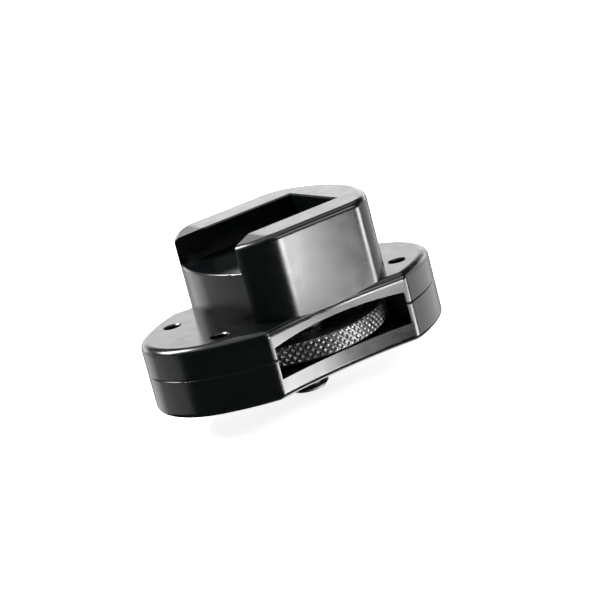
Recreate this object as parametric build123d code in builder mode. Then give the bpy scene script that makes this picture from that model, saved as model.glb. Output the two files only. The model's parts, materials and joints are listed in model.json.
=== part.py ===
from build123d import *
import math
import os

# Screw-on quick-mount adapter: a T-slot receiver on an oval two-shell base,
# with a captive knurled thumbwheel that turns a tripod-thread stud.
# Origin: centre of the base's bottom face, on the stud's axis. +Z is up and
# +X runs along the slot towards its closed end. All sizes are in mm.

# --- driving dimensions -------------------------------------------------------
base_half_length = 24.5
base_end_radius = 12.1          # rounded ends of the oval
base_side_reach = 16.9          # where the side arcs would cross X = 0
base_height = 10.8
split_height = 6.0              # top of the lower shell
waist_half_length = 12.6        # finger waist on each long side
waist_half_width = 13.0         # at the middle of the waist
corner_radius = 1.8             # upright corner between waist and end
top_edge_radius = 1.2
bottom_edge_radius = 1.0
split_edge_radius = 0.25        # where the two shells meet

tower_front_x = -13.2           # at the mouth of the slot
tower_back_x = 15.2
tower_front_radius = 22.0
tower_back_radius = 18.0
front_corner_radius = 6.5       # upright corners of the receiver
back_corner_radius = 5.0
tower_half_width = 12.9         # from the axis to each flat
tower_height = 12.6
tower_edge_radius = 1.0
ramp_start_x = -7.1             # the lips' top slopes down from here to the front
ramp_angle = 8.5
ramp_blend_radius = 4.0         # where the ramp meets the flat top

slot_half_gap = 6.6             # between the two lips
slot_depth = 4.6
slot_end_x = 9.0
undercut_half_width = 8.4
undercut_height = 1.1
lip_edge_radius = 0.25
floor_edge_radius = 0.4         # front edge of the slot's floor
mouth_start_x = -6.9            # the lips flare outwards from here
mouth_angle = 28.4

window_half_length = 11.9
window_floor = 3.0
window_end_top = 7.9
window_middle_top = 8.7

wheel_radius = 14.1
wheel_bottom = 3.5
wheel_top = 6.5
wheel_edge = 0.35               # bevel at each end of the knurled rim
wheel_rim_width = 3.0
wheel_dish_depth = 0.6
wheel_hub_radius = 5.6
wheel_clearance = 0.6           # round the rim
wheel_headroom = 0.7            # over the rim

thread_radius = 3.175           # 1/4 inch stud
stud_projection = 4.5
stud_tip_bevel = 0.7
neck_radius = 2.9
drive_across_flats = 7.0        # hexagon that carries the wheel
journal_radius = 2.0
journal_top = 11.0
journal_end_gap = 0.3
running_gap = 0.05
stud_hole_radius = 3.3

boss_radius = 4.5
washer_thickness = 0.45
washer_bore_gap = 0.1
lower_washer_width = 3.1        # from bore to rim
washer_rim_gap = 0.1            # inside the boss's rim
upper_washer_bore_gap = 0.2
core_inner_radius = 5.6         # ring-shaped core under the receiver
core_outer_radius = 9.8
core_top = 15.5

screw_x = 16.4
screw_y = 7.0
screw_radius = 1.25
screw_top = 9.3
pilot_radius = 1.3
pilot_bevel = 0.2
screw_clearance_radius = 1.4
head_radius = 2.2
head_height = 1.5
head_recess_radius = 2.5
head_recess_depth = 2.2
drive_slot_width = 0.6
drive_slot_length = 2.4
drive_slot_depth = 0.9
head_edge_radius = 0.5
shank_tip_bevel = 0.4

overcut = 1.0                   # how far a cut runs past the surface it opens

# --- derived ------------------------------------------------------------------
base_top = base_height
tower_top = base_height + tower_height
slot_floor = tower_top - slot_depth
tower_root = base_top - top_edge_radius - 0.3
cut_front_x = tower_front_x - overcut
boss_bottom = wheel_top + washer_thickness + 2 * running_gap
cavity_radius = wheel_radius + wheel_clearance
cavity_top = wheel_top + wheel_headroom
screw_places = [(x, y) for x in (-screw_x, screw_x) for y in (-screw_y, screw_y)]

end_centre_x = base_half_length - base_end_radius
side_radius = (end_centre_x**2 + base_side_reach**2 - base_end_radius**2) / (
    2 * (base_side_reach - base_end_radius)
)
side_centre_y = side_radius - base_side_reach
centre_distance = math.hypot(end_centre_x, side_centre_y)
tangent_x = end_centre_x + base_end_radius * end_centre_x / centre_distance
tangent_y = base_end_radius * side_centre_y / centre_distance


def side_y(x):
    """Half-width of the oval at x, on its long side arcs."""
    return math.sqrt(side_radius**2 - x**2) - side_centre_y


def base_outline():
    """Closed outline: two rounded ends, short side arcs and two concave waists."""
    middle_x = (waist_half_length + tangent_x) / 2
    corner = (waist_half_length, side_y(waist_half_length))
    shoulder = (middle_x, side_y(middle_x))
    tangent = (tangent_x, tangent_y)
    with BuildLine() as outline:
        for sx in (-1, 1):
            ThreePointArc(
                (sx * tangent[0], -tangent[1]),
                (sx * base_half_length, 0),
                (sx * tangent[0], tangent[1]),
            )
            for sy in (-1, 1):
                ThreePointArc(
                    (sx * tangent[0], sy * tangent[1]),
                    (sx * shoulder[0], sy * shoulder[1]),
                    (sx * corner[0], sy * corner[1]),
                )
        for sy in (-1, 1):
            ThreePointArc(
                (-corner[0], sy * corner[1]),
                (0, sy * waist_half_width),
                (corner[0], sy * corner[1]),
            )
    return outline


def window_profile():
    """Finger window seen from the side: flat sill and a slightly arched head."""
    with BuildLine() as outline:
        Polyline(
            (-window_half_length, window_end_top),
            (-window_half_length, window_floor),
            (window_half_length, window_floor),
            (window_half_length, window_end_top),
        )
        ThreePointArc(
            (-window_half_length, window_end_top),
            (0, window_middle_top),
            (window_half_length, window_end_top),
        )
    return outline


def arc_x(end_x, end_radius, y):
    """X at y on a receiver end arc that crosses the axis at end_x, bulging outwards."""
    sag = end_radius - math.sqrt(end_radius**2 - y**2)
    return end_x - math.copysign(sag, end_x)


def tower_outline():
    """Receiver's plan: two flats beside the slot, shallow arcs at the ends, round corners."""
    front_x = arc_x(tower_front_x, tower_front_radius, tower_half_width)
    back_x = arc_x(tower_back_x, tower_back_radius, tower_half_width)
    front_left, front_right = (front_x, tower_half_width), (front_x, -tower_half_width)
    back_left, back_right = (back_x, tower_half_width), (back_x, -tower_half_width)
    with BuildSketch() as plan:
        with BuildLine():
            ThreePointArc(front_left, (tower_front_x, 0), front_right)
            Line(front_right, back_right)
            ThreePointArc(back_right, (tower_back_x, 0), back_left)
            Line(back_left, front_left)
        make_face()
        fillet(plan.vertices().group_by(Axis.X)[0], front_corner_radius)
        fillet(plan.vertices().filter_by(lambda v: abs(v.X - back_x) < 0.01), back_corner_radius)
    return plan.sketch


# --- upper shell with the receiver -----------------------------------------------
outline = base_outline()
window = window_profile()

with BuildPart() as upper_shell:
    with BuildSketch(Plane.XY.offset(split_height)):
        with BuildLine():
            add(outline.line)
        make_face()
    extrude(amount=base_top - split_height)
    upright = upper_shell.edges().filter_by(Axis.Z)
    corners = upright.filter_by(lambda e: abs(abs(e.center().X) - waist_half_length) < 0.01)
    fillet(corners, corner_radius)
    fillet(upper_shell.edges().group_by(Axis.Z)[-1], top_edge_radius)
    fillet(upper_shell.edges().group_by(Axis.Z)[0], split_edge_radius)

    # finger window and wheel recess
    with BuildSketch(Plane.XZ):
        with BuildLine():
            add(window.line)
        make_face()
    extrude(amount=2 * base_side_reach, both=True, mode=Mode.SUBTRACT)
    with BuildSketch(Plane.XY.offset(split_height)):
        Circle(cavity_radius)
    extrude(amount=cavity_top - split_height, mode=Mode.SUBTRACT)

    # receiver tower, with the ramp down to its front
    with BuildSketch(Plane.XY.offset(tower_root)):
        add(tower_outline())
    extrude(amount=tower_top - tower_root)
    ramp_drop = (ramp_start_x - cut_front_x) * math.tan(math.radians(ramp_angle))
    with BuildSketch(Plane.XZ):
        with BuildLine():
            Polyline(
                (ramp_start_x, tower_top),
                (cut_front_x, tower_top),
                (cut_front_x, tower_top - ramp_drop),
                close=True,
            )
        make_face()
    extrude(amount=2 * tower_half_width, both=True, mode=Mode.SUBTRACT)
    top_edges = upper_shell.edges().filter_by(lambda e: e.center().Z > slot_floor)
    crease = top_edges.filter_by(lambda e: abs(e.center().X - ramp_start_x) < 0.01)
    fillet(crease, ramp_blend_radius)
    top_edges = upper_shell.edges().filter_by(lambda e: e.center().Z > slot_floor)
    across = top_edges.filter_by(Axis.Y).filter_by(GeomType.LINE)
    fillet(top_edges - across, tower_edge_radius)

    # slot between the lips, its flared mouth and the undercut at the floor
    flare = (mouth_start_x - cut_front_x) * math.tan(math.radians(mouth_angle))
    mouth_half_gap = slot_half_gap + flare
    with BuildSketch(Plane.XY.offset(tower_top)):
        with BuildLine():
            Polyline(
                (slot_end_x, -slot_half_gap),
                (slot_end_x, slot_half_gap),
                (mouth_start_x, slot_half_gap),
                (cut_front_x, mouth_half_gap),
                (cut_front_x, -mouth_half_gap),
                (mouth_start_x, -slot_half_gap),
                close=True,
            )
        make_face()
    extrude(amount=-slot_depth, mode=Mode.SUBTRACT)
    with BuildSketch(Plane.XY.offset(slot_floor)):
        with Locations((slot_end_x, 0)):
            Rectangle(
                slot_end_x - cut_front_x,
                2 * undercut_half_width,
                align=(Align.MAX, Align.CENTER),
            )
    extrude(amount=undercut_height, mode=Mode.SUBTRACT)
    lip_edges = upper_shell.edges().group_by(Axis.Z)[-1]
    lip_edges = lip_edges.filter_by(lambda e: abs(e.center().Y) < slot_half_gap + 0.01)
    fillet(lip_edges.filter_by(lambda e: e.center().X > ramp_start_x + 0.01), lip_edge_radius)
    floor_edges = upper_shell.edges().filter_by(lambda e: abs(e.center().Z - slot_floor) < 0.01)
    fillet(floor_edges.filter_by(lambda e: e.center().X < tower_front_x + 1), floor_edge_radius)

    # ring-shaped core, then the boss that carries the stud's upper journal
    with BuildSketch(Plane.XY.offset(cavity_top)):
        Circle(core_outer_radius)
        Circle(core_inner_radius, mode=Mode.SUBTRACT)
    extrude(amount=core_top - cavity_top, mode=Mode.SUBTRACT)
    with BuildSketch(Plane.XY.offset(boss_bottom)):
        Circle(boss_radius)
    extrude(amount=base_top - boss_bottom)
    with BuildSketch(Plane.XY.offset(boss_bottom)):
        Circle(journal_radius + running_gap)
    extrude(amount=journal_top + journal_end_gap - boss_bottom, mode=Mode.SUBTRACT)

    # pilot holes for the shell screws, open at the top
    with Locations(Plane.XY.offset(base_top)):
        with Locations(*screw_places):
            Hole(pilot_radius, depth=base_top - split_height)
    rims = upper_shell.edges().filter_by(GeomType.CIRCLE)
    rims = rims.filter_by(lambda e: abs(e.radius - pilot_radius) < 0.01)
    chamfer(rims.group_by(Axis.Z)[-1], pilot_bevel)
upper_shell.part.label = "upper_shell"

# --- lower shell --------------------------------------------------------------------
with BuildPart() as lower_shell:
    with BuildSketch():
        with BuildLine():
            add(outline.line)
        make_face()
    extrude(amount=split_height)
    upright = lower_shell.edges().filter_by(Axis.Z)
    corners = upright.filter_by(lambda e: abs(abs(e.center().X) - waist_half_length) < 0.01)
    fillet(corners, corner_radius)
    fillet(lower_shell.edges().group_by(Axis.Z)[0], bottom_edge_radius)
    fillet(lower_shell.edges().group_by(Axis.Z)[-1], split_edge_radius)

    with BuildSketch(Plane.XZ):
        with BuildLine():
            add(window.line)
        make_face()
    extrude(amount=2 * base_side_reach, both=True, mode=Mode.SUBTRACT)
    with BuildSketch(Plane.XY.offset(window_floor)):
        Circle(cavity_radius)
    extrude(amount=split_height - window_floor, mode=Mode.SUBTRACT)
    with Locations(Plane.XY.offset(window_floor)):
        Hole(stud_hole_radius, depth=window_floor)
    with Locations(Plane.XY.rotated((180, 0, 0))):
        with Locations(*screw_places):
            CounterBoreHole(
                screw_clearance_radius, head_recess_radius, head_recess_depth, depth=split_height
            )
lower_shell.part.label = "lower_shell"

# --- thumbwheel ----------------------------------------------------------------------
with BuildPart() as thumbwheel:
    with BuildSketch(Plane.XY.offset(wheel_bottom)):
        Circle(wheel_radius)
    extrude(amount=wheel_top - wheel_bottom)
    chamfer(thumbwheel.edges().filter_by(GeomType.CIRCLE), wheel_edge)
    with BuildSketch(Plane.XY.offset(wheel_top)):
        Circle(wheel_radius - wheel_rim_width)
        Circle(wheel_hub_radius, mode=Mode.SUBTRACT)
    extrude(amount=-wheel_dish_depth, mode=Mode.SUBTRACT)
    with BuildSketch(Plane.XY.offset(wheel_bottom)):
        RegularPolygon(drive_across_flats / 2, 6, major_radius=False)
    extrude(amount=wheel_top - wheel_bottom, mode=Mode.SUBTRACT)
thumbwheel.part.label = "thumbwheel"

# --- mounting stud -------------------------------------------------------------------
with BuildPart() as mounting_stud:
    with BuildSketch(Plane.XY.offset(-stud_projection)):
        Circle(thread_radius)
    extrude(amount=stud_projection)
    chamfer(mounting_stud.edges().group_by(Axis.Z)[0], stud_tip_bevel)
    with BuildSketch():
        Circle(neck_radius)
    extrude(amount=wheel_bottom)
    with BuildSketch(Plane.XY.offset(wheel_bottom)):
        RegularPolygon(drive_across_flats / 2, 6, major_radius=False)
    extrude(amount=wheel_top - wheel_bottom)
    with BuildSketch(Plane.XY.offset(wheel_top)):
        Circle(journal_radius)
    extrude(amount=journal_top - wheel_top)
mounting_stud.part.label = "mounting_stud"

# --- thrust washers --------------------------------------------------------------------
with BuildPart() as lower_thrust_washer:
    with BuildSketch(Plane.XY.offset(window_floor)):
        Circle(stud_hole_radius + washer_bore_gap + lower_washer_width)
        Circle(stud_hole_radius + washer_bore_gap, mode=Mode.SUBTRACT)
    extrude(amount=washer_thickness)
lower_thrust_washer.part.label = "lower_thrust_washer"

with BuildPart() as upper_thrust_washer:
    with BuildSketch(Plane.XY.offset(wheel_top + running_gap)):
        Circle(boss_radius - washer_rim_gap)
        Circle(journal_radius + upper_washer_bore_gap, mode=Mode.SUBTRACT)
    extrude(amount=washer_thickness)
upper_thrust_washer.part.label = "upper_thrust_washer"


# --- shell screws ----------------------------------------------------------------------
def shell_screw(x, y):
    """Pan-head screw driven from below, its crossed drive slot facing down."""
    head_bottom = head_recess_depth - head_height
    with BuildPart() as screw:
        with BuildSketch(Plane.XY.offset(head_bottom)):
            with Locations((x, y)):
                Circle(head_radius)
        extrude(amount=head_height)
        fillet(screw.edges().group_by(Axis.Z)[0], head_edge_radius)
        with BuildSketch(Plane.XY.offset(head_recess_depth)):
            with Locations((x, y)):
                Circle(screw_radius)
        extrude(amount=screw_top - head_recess_depth)
        chamfer(screw.edges().group_by(Axis.Z)[-1], shank_tip_bevel)
        with BuildSketch(Plane.XY.offset(head_bottom)):
            with Locations((x, y)):
                Rectangle(drive_slot_length, drive_slot_width)
                Rectangle(drive_slot_width, drive_slot_length)
        extrude(amount=drive_slot_depth, mode=Mode.SUBTRACT)
    return screw.part


os.makedirs("parts", exist_ok=True)
export_step(upper_shell.part, "parts/upper_shell.step")
export_step(lower_shell.part, "parts/lower_shell.step")
export_step(thumbwheel.part, "parts/thumbwheel.step")
export_step(mounting_stud.part, "parts/mounting_stud.step")
export_step(lower_thrust_washer.part, "parts/lower_thrust_washer.step")
export_step(upper_thrust_washer.part, "parts/upper_thrust_washer.step")
for number, (x, y) in enumerate(screw_places, start=1):
    screw = shell_screw(x, y)
    screw.label = f"shell_screw_{number}"
    export_step(screw, f"parts/{screw.label}.step")
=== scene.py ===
import json
import math

import bpy
import bmesh
from mathutils import Matrix, Vector


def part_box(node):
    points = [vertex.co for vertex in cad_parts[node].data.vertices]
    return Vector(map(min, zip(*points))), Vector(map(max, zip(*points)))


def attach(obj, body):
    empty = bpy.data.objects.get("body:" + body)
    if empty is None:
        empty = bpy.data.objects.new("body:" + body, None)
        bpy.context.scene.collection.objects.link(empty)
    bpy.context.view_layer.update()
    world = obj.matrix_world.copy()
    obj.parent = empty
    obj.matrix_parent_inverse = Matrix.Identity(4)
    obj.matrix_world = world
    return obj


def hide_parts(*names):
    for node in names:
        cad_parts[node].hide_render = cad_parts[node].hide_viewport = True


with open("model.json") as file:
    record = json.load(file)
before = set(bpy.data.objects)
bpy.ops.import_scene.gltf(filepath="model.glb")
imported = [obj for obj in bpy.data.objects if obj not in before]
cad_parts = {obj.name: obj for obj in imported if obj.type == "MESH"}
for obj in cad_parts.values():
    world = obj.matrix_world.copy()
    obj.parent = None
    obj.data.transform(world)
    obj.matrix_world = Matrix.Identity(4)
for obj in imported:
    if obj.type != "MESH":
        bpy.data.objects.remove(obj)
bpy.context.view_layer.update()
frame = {"nodes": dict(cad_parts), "record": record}
MM = 0.001
TAU = 2 * math.pi
SCENE = bpy.context.scene


# --- places taken from the frame --------------------------------------------------
lower_shell_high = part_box("lower_shell")[1]
wheel_low, wheel_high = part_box("thumbwheel")
stud_low, stud_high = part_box("mounting_stud")
thread_radius = frame["record"]["mounts"][0]["dims"]["r_mm"] * MM
UPPER_SHELL_RISE = 4.8 * MM              # from the split to the base's top face
BASE_TOP = Vector((0, 0, lower_shell_high.z + UPPER_SHELL_RISE))
LIGHT_CENTRE = Vector((0, 0, 10 * MM))   # inside the base, near its top; the lights face it


# --- mesh helpers --------------------------------------------------------------------
def add_object(name, mesh):
    piece = bpy.data.objects.new(name, mesh)
    SCENE.collection.objects.link(piece)
    return piece


def mesh_from(name, vertices, faces, sharp_angle=30):
    """A clean mesh from vertex and face lists, smooth but for edges sharper than the angle."""
    mesh = bpy.data.meshes.new(name)
    mesh.from_pydata(vertices, [], faces)
    mesh.validate()
    work = bmesh.new()
    work.from_mesh(mesh)
    bmesh.ops.recalc_face_normals(work, faces=work.faces)
    work.to_mesh(mesh)
    work.free()
    mesh.shade_smooth()
    mesh.set_sharp_from_angle(angle=math.radians(sharp_angle))
    return mesh


def stacked_rings(name, rings, closed=False, sharp_angle=30):
    """Joins rings of equally many points. Closed joins the last to the first; open caps both ends."""
    count = len(rings[0])
    vertices = [p for ring in rings for p in ring]
    faces = []
    pairs = [(i, i + 1) for i in range(len(rings) - 1)]
    if closed:
        pairs.append((len(rings) - 1, 0))
    for a, b in pairs:
        for k in range(count):
            n = (k + 1) % count
            faces.append((a * count + k, a * count + n, b * count + n, b * count + k))
    if not closed:
        faces.append(tuple(range(count)))
        faces.append(tuple(range(len(vertices) - count, len(vertices))))
    return mesh_from(name, vertices, faces, sharp_angle)


def circle_points(radius, z, count, x=0.0, y=0.0):
    turns = [TAU * k / count for k in range(count)]
    return [(x + radius * math.cos(t), y + radius * math.sin(t), z) for t in turns]


def hexagon_points(across_flats, z, count):
    """A hexagon with two corners on the X axis, as points at even angles from its centre."""
    points = []
    for k in range(count):
        turn = TAU * k / count
        off = (turn % (TAU / 6)) - TAU / 12
        radius = across_flats / 2 / math.cos(off)
        points.append((radius * math.cos(turn), radius * math.sin(turn), z))
    return points


# --- thumbwheel ---------------------------------------------------------------------
KNURLS = 74                      # diamonds round the rim
STEPS = 8                        # mesh steps in one diamond
KNURL_DEPTH = 0.36 * MM
KNURL_FLAT = 0.62                # share of the full height where the tops are cut flat
WHEEL_BEVEL = 0.35 * MM
RIM_WIDTH = 3.0 * MM
HUB_RADIUS = 5.6 * MM
DISH_DEPTH = 0.6 * MM
SOFT_EDGE = 0.12 * MM            # rounding of the turned edges
HEXAGON = 7.0 * MM


def triangle_wave(t):
    """1 at whole numbers, 0 half way between them."""
    return 1 - 2 * abs(t - round(t))


def make_thumbwheel():
    radius = wheel_high.x
    bottom, top = wheel_low.z, wheel_high.z
    middle = (bottom + top) / 2
    around_count = KNURLS * STEPS
    pitch = TAU * radius / KNURLS
    rows = 2 * round((top - bottom) / pitch * STEPS / 2)

    def rim_radius(k, z):
        along = k / STEPS
        up = (z - middle) / pitch
        height = min(triangle_wave(along + up), triangle_wave(along - up))
        crest = min(height, KNURL_FLAT) / KNURL_FLAT
        bevel = WHEEL_BEVEL - min(z - bottom, top - z)
        return radius - max(KNURL_DEPTH * (1 - crest), bevel, 0)

    def rim_ring(z):
        ring = []
        for k in range(around_count):
            r = rim_radius(k, z)
            turn = TAU * k / around_count
            ring.append((r * math.cos(turn), r * math.sin(turn), z))
        return ring

    rings = [rim_ring(bottom + (top - bottom) * i / rows) for i in range(rows + 1)]
    dish = top - DISH_DEPTH
    inner = radius - RIM_WIDTH
    edge, near, root = SOFT_EDGE, 0.3 * SOFT_EDGE, 0.6 * SOFT_EDGE
    for r, z in (
        (inner + edge, top), (inner + near, top - near), (inner, top - edge),
        (inner, dish + 2 * edge), (inner - root, dish + root), (inner - 2 * edge, dish),
        (HUB_RADIUS + 2 * edge, dish), (HUB_RADIUS + root, dish + root),
        (HUB_RADIUS, dish + 2 * edge), (HUB_RADIUS, top - edge),
        (HUB_RADIUS - near, top - near), (HUB_RADIUS - edge, top),
    ):
        rings.append(circle_points(r, z, around_count))
    rings.append(hexagon_points(HEXAGON, top, around_count))
    rings.append(hexagon_points(HEXAGON, bottom, around_count))
    mesh = stacked_rings("thumbwheel_knurled", rings, closed=True, sharp_angle=22)
    crest = mesh.attributes.new("crest", "FLOAT", "POINT")
    for i, vertex in enumerate(mesh.vertices):
        reach = math.hypot(vertex.co.x, vertex.co.y)
        crest.data[i].value = max(0.0, (reach - radius + KNURL_DEPTH) / KNURL_DEPTH)
    piece = add_object("thumbwheel_knurled", mesh)
    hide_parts("thumbwheel")
    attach(piece, "wheel")
    return piece


# --- stud -----------------------------------------------------------------------------
THREAD_PITCH = 1.27 * MM         # 20 threads per inch
THREAD_DEPTH = 0.74 * MM
TIP_BEVEL = 0.7 * MM
CREST_FLAT = 0.16                # shares of half a pitch
FLANK = 0.72
THREAD_TOP = 0.9 * MM
NECK_RADIUS = 2.4 * MM
JOURNAL_RADIUS = 2.0 * MM
JOURNAL_BEVEL = 0.1 * MM
TIP_FLAT_STEP = 0.2 * MM         # a ring on the tip's flat face, this far inside the bevel
NECK_STEP = 0.05 * MM            # rise from the thread's end to the neck
STUD_POINTS = 96                 # round each ring
STUD_ROWS = 22                   # rings in one pitch
TIP_CENTRE_MARK = ((0.35 * MM, 0.35 * MM), (0.8 * MM, 0.02 * MM))   # radius and rise of its rings


def thread_profile(turn):
    """Depth share over one pitch: flat crest, straight flanks, narrow root."""
    t = abs(turn - round(turn)) * 2
    return min(1.0, max(0.0, (t - CREST_FLAT) / FLANK))


def threaded_rings(radius, depth, pitch, bottom, top, count, rows_per_pitch, bevel, x=0.0, y=0.0):
    """Rings of a right-hand thread from bottom to top, bevelled at the bottom end."""
    rows = max(2, round((top - bottom) / pitch * rows_per_pitch))
    rings = []
    for i in range(rows + 1):
        z = bottom + (top - bottom) * i / rows
        ring = []
        for k in range(count):
            turn = k / count
            r = radius - depth * thread_profile(z / pitch - turn)
            r = min(r, radius - bevel + (z - bottom))
            ring.append((x + r * math.cos(TAU * turn), y + r * math.sin(TAU * turn), z))
        rings.append(ring)
    return rings


def make_stud():
    count = STUD_POINTS
    bottom = stud_low.z
    rings = [circle_points(radius, bottom + rise, count) for radius, rise in TIP_CENTRE_MARK]
    rings.append(circle_points(thread_radius - TIP_BEVEL - TIP_FLAT_STEP, bottom, count))
    rings += threaded_rings(
        thread_radius, THREAD_DEPTH, THREAD_PITCH, bottom, THREAD_TOP, count, STUD_ROWS, TIP_BEVEL
    )
    rings += [
        circle_points(NECK_RADIUS, THREAD_TOP + NECK_STEP, count),
        circle_points(NECK_RADIUS, wheel_low.z, count),
        hexagon_points(HEXAGON, wheel_low.z, count),
        hexagon_points(HEXAGON, wheel_high.z, count),
        circle_points(JOURNAL_RADIUS, wheel_high.z, count),
        circle_points(JOURNAL_RADIUS, stud_high.z - JOURNAL_BEVEL, count),
        circle_points(JOURNAL_RADIUS - JOURNAL_BEVEL, stud_high.z, count),
    ]
    piece = add_object("mounting_stud_threaded", stacked_rings("mounting_stud_threaded", rings))
    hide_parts("mounting_stud")
    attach(piece, "wheel")
    return piece


# --- washers and screws ---------------------------------------------------------------
WASHER_BORE_RADIUS = {"lower_thrust_washer": 3.4 * MM, "upper_thrust_washer": 2.2 * MM}
WASHER_EDGE = 0.1 * MM
WASHER_POINTS = 128              # round each ring


def make_washer(node):
    low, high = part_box(node)
    outer = high.x
    inner = WASHER_BORE_RADIUS[node]
    edge, near = WASHER_EDGE, 0.3 * WASHER_EDGE
    profile = (
        (outer - edge, low.z), (outer - near, low.z + near), (outer, low.z + edge),
        (outer, high.z - edge), (outer - near, high.z - near), (outer - edge, high.z),
        (inner + edge, high.z), (inner, high.z - edge), (inner, low.z + edge), (inner + edge, low.z),
    )
    rings = [circle_points(r, z, WASHER_POINTS) for r, z in profile]
    piece = add_object(node + "_turned", stacked_rings(node + "_turned", rings, closed=True))
    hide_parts(node)
    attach(piece, "housing")
    return piece


SHANK_RADIUS = 1.25 * MM
SHANK_TIP_BEVEL = 0.5 * MM
SCREW_PITCH = 0.9 * MM
SCREW_THREAD_DEPTH = 0.25 * MM
SCREW_THREAD_START = 0.3 * MM    # above the head
SCREW_POINTS = 48                # round each ring
SCREW_ROWS = 12                  # rings in one pitch
HEAD_HEIGHT = 1.5 * MM
HEAD_CROWN = 0.5 * MM
HEAD_EDGE = 0.1 * MM
HEAD_SHARES = (0.25, 0.5, 0.72, 0.86, 0.95, 1.0)     # rings of the crowned face
UNDERCUT = 0.2 * MM              # of the shank below the thread
RECESS_HALF_WIDTH = 0.32 * MM
RECESS_HALF_LENGTH = 1.25 * MM
RECESS_DEPTH = 0.9 * MM
RECESS_LEVELS = ((-0.2 * MM, 1.12), (0.55 * RECESS_DEPTH, 0.8), (RECESS_DEPTH, 0.35))  # rise, size


def cross_recess(x, y, bottom):
    """Closed solid of a crossed driver recess that narrows upwards."""
    rings = []
    for rise, grow in RECESS_LEVELS:
        w, reach = RECESS_HALF_WIDTH * (0.6 + 0.4 * grow), RECESS_HALF_LENGTH * grow
        corners = []
        for quarter in range(4):
            turn = quarter * TAU / 4
            for a, b in ((reach, -w), (reach, w), (w, w)):
                corners.append((
                    x + a * math.cos(turn) - b * math.sin(turn),
                    y + a * math.sin(turn) + b * math.cos(turn),
                    bottom + rise,
                ))
        rings.append(corners)
    return stacked_rings("recess", rings)


def make_screw(node):
    low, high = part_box(node)
    x, y = (low.x + high.x) / 2, (low.y + high.y) / 2
    radius = (high.x - low.x) / 2
    count = SCREW_POINTS
    head_top = low.z + HEAD_HEIGHT
    rings = []
    for share in HEAD_SHARES:
        rise = HEAD_CROWN * (1 - math.sqrt(max(0.0, 1 - share**2)))
        rings.append(circle_points(radius * share, low.z + rise, count, x, y))
    rings += [
        circle_points(radius, head_top - HEAD_EDGE, count, x, y),
        circle_points(radius - HEAD_EDGE, head_top, count, x, y),
        circle_points(SHANK_RADIUS - UNDERCUT, head_top, count, x, y),
    ]
    thread = threaded_rings(
        SHANK_RADIUS, SCREW_THREAD_DEPTH, SCREW_PITCH, -high.z, -head_top - SCREW_THREAD_START,
        count, SCREW_ROWS, SHANK_TIP_BEVEL, x, y,
    )
    rings += [[(p[0], p[1], -p[2]) for p in ring] for ring in reversed(thread)]
    piece = add_object(node + "_threaded", stacked_rings(node + "_threaded", rings))
    cutter = add_object("recess", cross_recess(x, y, low.z))
    cut = piece.modifiers.new("recess", "BOOLEAN")
    cut.operation = "DIFFERENCE"
    cut.solver = "EXACT"
    cut.object = cutter
    graph = bpy.context.evaluated_depsgraph_get()
    shaped = bpy.data.meshes.new_from_object(piece.evaluated_get(graph))
    piece.modifiers.clear()
    piece.data = shaped
    shaped.set_sharp_from_angle(angle=math.radians(30))
    bpy.data.objects.remove(cutter)
    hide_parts(node)
    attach(piece, "housing")
    return piece


# --- materials -------------------------------------------------------------------------
class Nodes:
    """Short calls for building one material's node tree in object coordinates."""

    def __init__(self, name):
        self.material = bpy.data.materials.new(name)
        self.material.use_nodes = True
        self.tree = self.material.node_tree
        self.shader = self.tree.nodes["Principled BSDF"]
        self.place = self.tree.nodes.new("ShaderNodeTexCoord").outputs["Object"]

    def add(self, kind, inputs=None, **settings):
        node = self.tree.nodes.new(kind)
        for key, value in settings.items():
            setattr(node, key, value)
        for key, value in (inputs or {}).items():
            if isinstance(value, bpy.types.NodeSocket):
                self.tree.links.new(value, node.inputs[key])
            else:
                node.inputs[key].default_value = value
        return node

    def noise(self, size, detail=3.0, roughness=0.55, stretch=None):
        """Noise whose features are about that many metres across."""
        place = self.place
        if stretch:
            place = self.add("ShaderNodeMapping", {"Vector": place, "Scale": stretch}).outputs[0]
        return self.add(
            "ShaderNodeTexNoise",
            {"Vector": place, "Scale": 1 / size, "Detail": detail, "Roughness": roughness},
        ).outputs["Fac"]

    def remap(self, value, low, high, to_low, to_high):
        return self.add(
            "ShaderNodeMapRange",
            {"Value": value, "From Min": low, "From Max": high, "To Min": to_low, "To Max": to_high},
        ).outputs[0]

    def blend(self, factor, a, b):
        node = self.add("ShaderNodeMix", data_type="RGBA")
        for socket, value in ((node.inputs[0], factor), (node.inputs[6], a), (node.inputs[7], b)):
            if isinstance(value, bpy.types.NodeSocket):
                self.tree.links.new(value, socket)
            else:
                socket.default_value = value
        return node.outputs[2]

    def math(self, operation, a, b):
        node = self.add("ShaderNodeMath", operation=operation)
        for socket, value in zip(node.inputs, (a, b)):
            if isinstance(value, bpy.types.NodeSocket):
                self.tree.links.new(value, socket)
            else:
                socket.default_value = value
        return node.outputs[0]

    def bump(self, height, strength, distance, onto=None):
        inputs = {"Height": height, "Strength": strength, "Distance": distance}
        if onto is not None:
            inputs["Normal"] = onto
        return self.add("ShaderNodeBump", inputs).outputs[0]

    def set(self, **sockets):
        for key, value in sockets.items():
            socket = self.shader.inputs[key.replace("_", " ")]
            if isinstance(value, bpy.types.NodeSocket):
                self.tree.links.new(value, socket)
            else:
                socket.default_value = value


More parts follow.
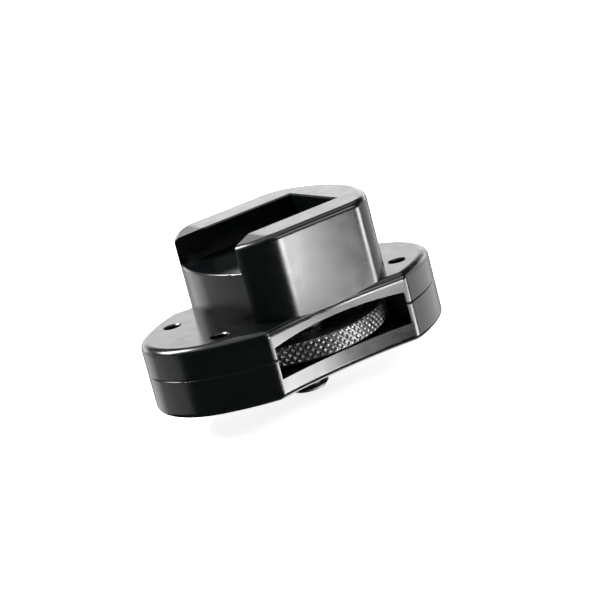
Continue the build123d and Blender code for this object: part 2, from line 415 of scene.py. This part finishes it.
def moulded_plastic():
    """Near-black glossy plastic: faint mould texture, slow gloss changes, hairline scratches."""
    m = Nodes("moulded_plastic")
    cloud = m.noise(6 * MM, 2)
    colour = m.blend(cloud, (0.0010, 0.0018, 0.0020, 1), (0.0020, 0.0032, 0.0035, 1))
    streak = m.noise(1.2 * MM, 3, 0.6, (1.0, 14.0, 6.0))
    scratch = m.remap(streak, 0.68, 0.74, 0.0, 1.0)
    colour = m.blend(m.math("MULTIPLY", scratch, 0.2), colour, (0.03, 0.031, 0.033, 1))
    gloss = m.remap(m.noise(2.5 * MM, 3), 0.3, 0.7, 0.19, 0.25)
    rough = m.math("ADD", gloss, m.math("MULTIPLY", scratch, 0.08))
    normal = m.bump(m.noise(0.30 * MM, 2), 0.05, 0.010 * MM)
    normal = m.bump(m.noise(1.8 * MM, 1), 0.05, 0.02 * MM, normal)
    m.set(Base_Color=colour, Roughness=rough, Normal=normal, IOR=1.5, Specular_IOR_Level=0.5)
    return m.material


def black_metal(name, dark, crest_wear_and_highlight=None):
    """Black finished metal. Given a crest colour, the knurling's crests are painted lighter in
    patches: partly wear, partly painted highlight.
    """
    m = Nodes(name)
    patch = m.noise(0.9 * MM, 3)
    colour = m.blend(patch, dark, tuple(1.6 * c for c in dark[:3]) + (1,))
    if crest_wear_and_highlight:
        # painted highlight with some wear: the knurl crests get a lighter colour, in noise patches
        crest = m.add("ShaderNodeAttribute", attribute_name="crest").outputs["Fac"]
        high = m.remap(crest, 0.72, 1.0, 0.0, 1.0)
        crest_wear_and_highlight_mask = m.math("MULTIPLY", high, m.remap(patch, 0.35, 0.6, 0.3, 1.0))
        colour = m.blend(crest_wear_and_highlight_mask, colour, crest_wear_and_highlight)
    rough = m.remap(m.noise(0.5 * MM, 3), 0.3, 0.7, 0.24, 0.38)
    normal = m.bump(m.noise(0.12 * MM, 2), 0.15, 0.01 * MM)
    m.set(Base_Color=colour, Roughness=rough, Normal=normal, Metallic=0.85)
    return m.material


def nylon():
    """Milky nylon with fine moulding grain."""
    m = Nodes("nylon")
    colour = m.blend(m.noise(1.5 * MM, 3), (0.50, 0.49, 0.44, 1), (0.62, 0.61, 0.57, 1))
    rough = m.remap(m.noise(0.6 * MM, 2), 0.3, 0.7, 0.45, 0.6)
    m.set(Base_Color=colour, Roughness=rough, Normal=m.bump(m.noise(0.2 * MM, 2), 0.2, 0.02 * MM))
    return m.material


def pale_floor():
    m = Nodes("pale_floor")
    colour = m.blend(m.noise(60 * MM, 2), (0.93, 0.93, 0.93, 1), (0.95, 0.95, 0.95, 1))
    m.set(Base_Color=colour, Roughness=0.9, Specular_IOR_Level=0.1)
    m.set(Emission_Color=colour, Emission_Strength=0.85)
    return m.material


def dress(piece, material):
    if len(piece.data.materials) == 0:
        piece.data.materials.append(material)
    for i in range(len(piece.data.materials)):
        piece.data.materials[i] = material


# --- camera ------------------------------------------------------------------------------
CAMERA_TURN = math.radians(29.61)        # round the object, from straight along +Y
CAMERA_DOWN = math.radians(14.58)
CAMERA_ROLL = math.radians(14.80)
CAMERA_DISTANCE = 379 * MM
AIM_RIGHT = 2.27 * MM                    # from the centre of the base's top face
AIM_UP = -0.99 * MM
LENS = 150                               # focal length, in millimetres
SENSOR = 36                              # width, in millimetres


def make_camera():
    level = Vector((math.cos(CAMERA_TURN), -math.sin(CAMERA_TURN), 0))
    ahead = Vector((
        math.sin(CAMERA_TURN) * math.cos(CAMERA_DOWN),
        math.cos(CAMERA_TURN) * math.cos(CAMERA_DOWN),
        -math.sin(CAMERA_DOWN),
    ))
    above = level.cross(ahead)
    right = math.cos(CAMERA_ROLL) * level - math.sin(CAMERA_ROLL) * above
    up = math.sin(CAMERA_ROLL) * level + math.cos(CAMERA_ROLL) * above
    data = bpy.data.cameras.new("camera")
    data.lens = LENS
    data.sensor_width = SENSOR
    data.clip_start = 0.01
    data.clip_end = 20
    camera = bpy.data.objects.new("camera", data)
    SCENE.collection.objects.link(camera)
    place = BASE_TOP + AIM_RIGHT * right + AIM_UP * up - CAMERA_DISTANCE * ahead
    turn = Matrix((right, up, -ahead)).transposed()
    camera.matrix_world = Matrix.Translation(place) @ turn.to_4x4()
    SCENE.camera = camera


# --- light -----------------------------------------------------------------------------
def direction(azimuth, elevation):
    """Unit vector from the object; azimuth 0 is +X, 90 is +Y."""
    a, e = math.radians(azimuth), math.radians(elevation)
    return Vector((math.cos(a) * math.cos(e), math.sin(a) * math.cos(e), math.sin(e)))


def card(name, centre, width, height, radiance):
    """A soft rectangular light facing the object; radiance 1 is the brightness of white."""
    data = bpy.data.lights.new(name, "AREA")
    data.shape = "RECTANGLE"
    data.size = width
    data.size_y = height
    data.energy = radiance * width * height * math.pi
    light = bpy.data.objects.new(name, data)
    SCENE.collection.objects.link(light)
    light.location = centre
    way = (Vector(centre) - LIGHT_CENTRE).normalized()
    light.rotation_mode = "QUATERNION"
    light.rotation_quaternion = way.to_track_quat("Z", "Y")
    light.visible_camera = False


def around(azimuth, elevation, distance):
    return LIGHT_CENTRE + distance * direction(azimuth, elevation)


FLOOR_HALF = 3.0                         # metres
WORLD_LIGHT = 0.02


def make_stage():
    """The floor, the dim world and the lights. Some lights are below the floor, and show only
    as reflections in the walls: the floor is hidden from glossy rays, so it doesn't cover them."""
    half, z = FLOOR_HALF, stud_low.z
    corners = [(-half, -half, z), (half, -half, z), (half, half, z), (-half, half, z)]
    floor = add_object("floor", mesh_from("floor", corners, [(0, 1, 2, 3)]))
    dress(floor, pale_floor())
    floor.visible_glossy = False
    world = bpy.data.worlds.new("studio")
    world.use_nodes = True
    back = world.node_tree.nodes["Background"]
    back.inputs["Color"].default_value = (1, 1, 1, 1)
    back.inputs["Strength"].default_value = WORLD_LIGHT
    SCENE.world = world
    SCENE.view_settings.view_transform = "Standard"
    card("overhead", around(60, 85, 1.2), 1.6, 1.6, 1.2)
    card("background", around(60, 11, 0.6), 1.2, 0.23, 2.3)
    card("background_low", around(70, -14, 0.6), 1.2, 0.2, 0.55)
    card("front_low", (90 * MM, -103 * MM, -49 * MM), 58 * MM, 44 * MM, 22)
    card("front_high", (42 * MM, -117 * MM, 0 * MM), 28 * MM, 34 * MM, 30)
    card("corner_high", (103 * MM, -92 * MM, -6 * MM), 22 * MM, 34 * MM, 26)
    card("right_wall", around(0, -5, 0.35), 0.35, 0.3, 1.5)
    card("left_wall", around(150, -5, 0.35), 0.30, 0.3, 0.75)
    card("rear_wall", around(108, -6, 0.35), 0.2, 0.3, 1.0)
    card("window_light", around(300, 32, 0.4), 0.2, 0.12, 5)
    card("under_edge", around(28, -57, 0.3), 0.16, 0.16, 4)
    card("edge_light", around(135, 48, 0.4), 0.16, 0.24, 28)


# --- the object --------------------------------------------------------------------------
plastic = moulded_plastic()
for node in ("upper_shell", "lower_shell"):
    dress(frame["nodes"][node], plastic)
# the last colour is the knurl crests' lighter colour: painted highlight and wear
dress(make_thumbwheel(), black_metal("anodised_black", (0.09, 0.09, 0.092, 1), (0.55, 0.55, 0.56, 1)))
dress(make_stud(), black_metal("black_oxide", (0.030, 0.029, 0.030, 1)))
nylon_white = nylon()
for node in WASHER_BORE_RADIUS:
    dress(make_washer(node), nylon_white)
black_zinc = black_metal("black_zinc", (0.05, 0.05, 0.052, 1))
for node in sorted(n for n in frame["nodes"] if n.startswith("shell_screw_")):
    dress(make_screw(node), black_zinc)

make_camera()
make_stage()
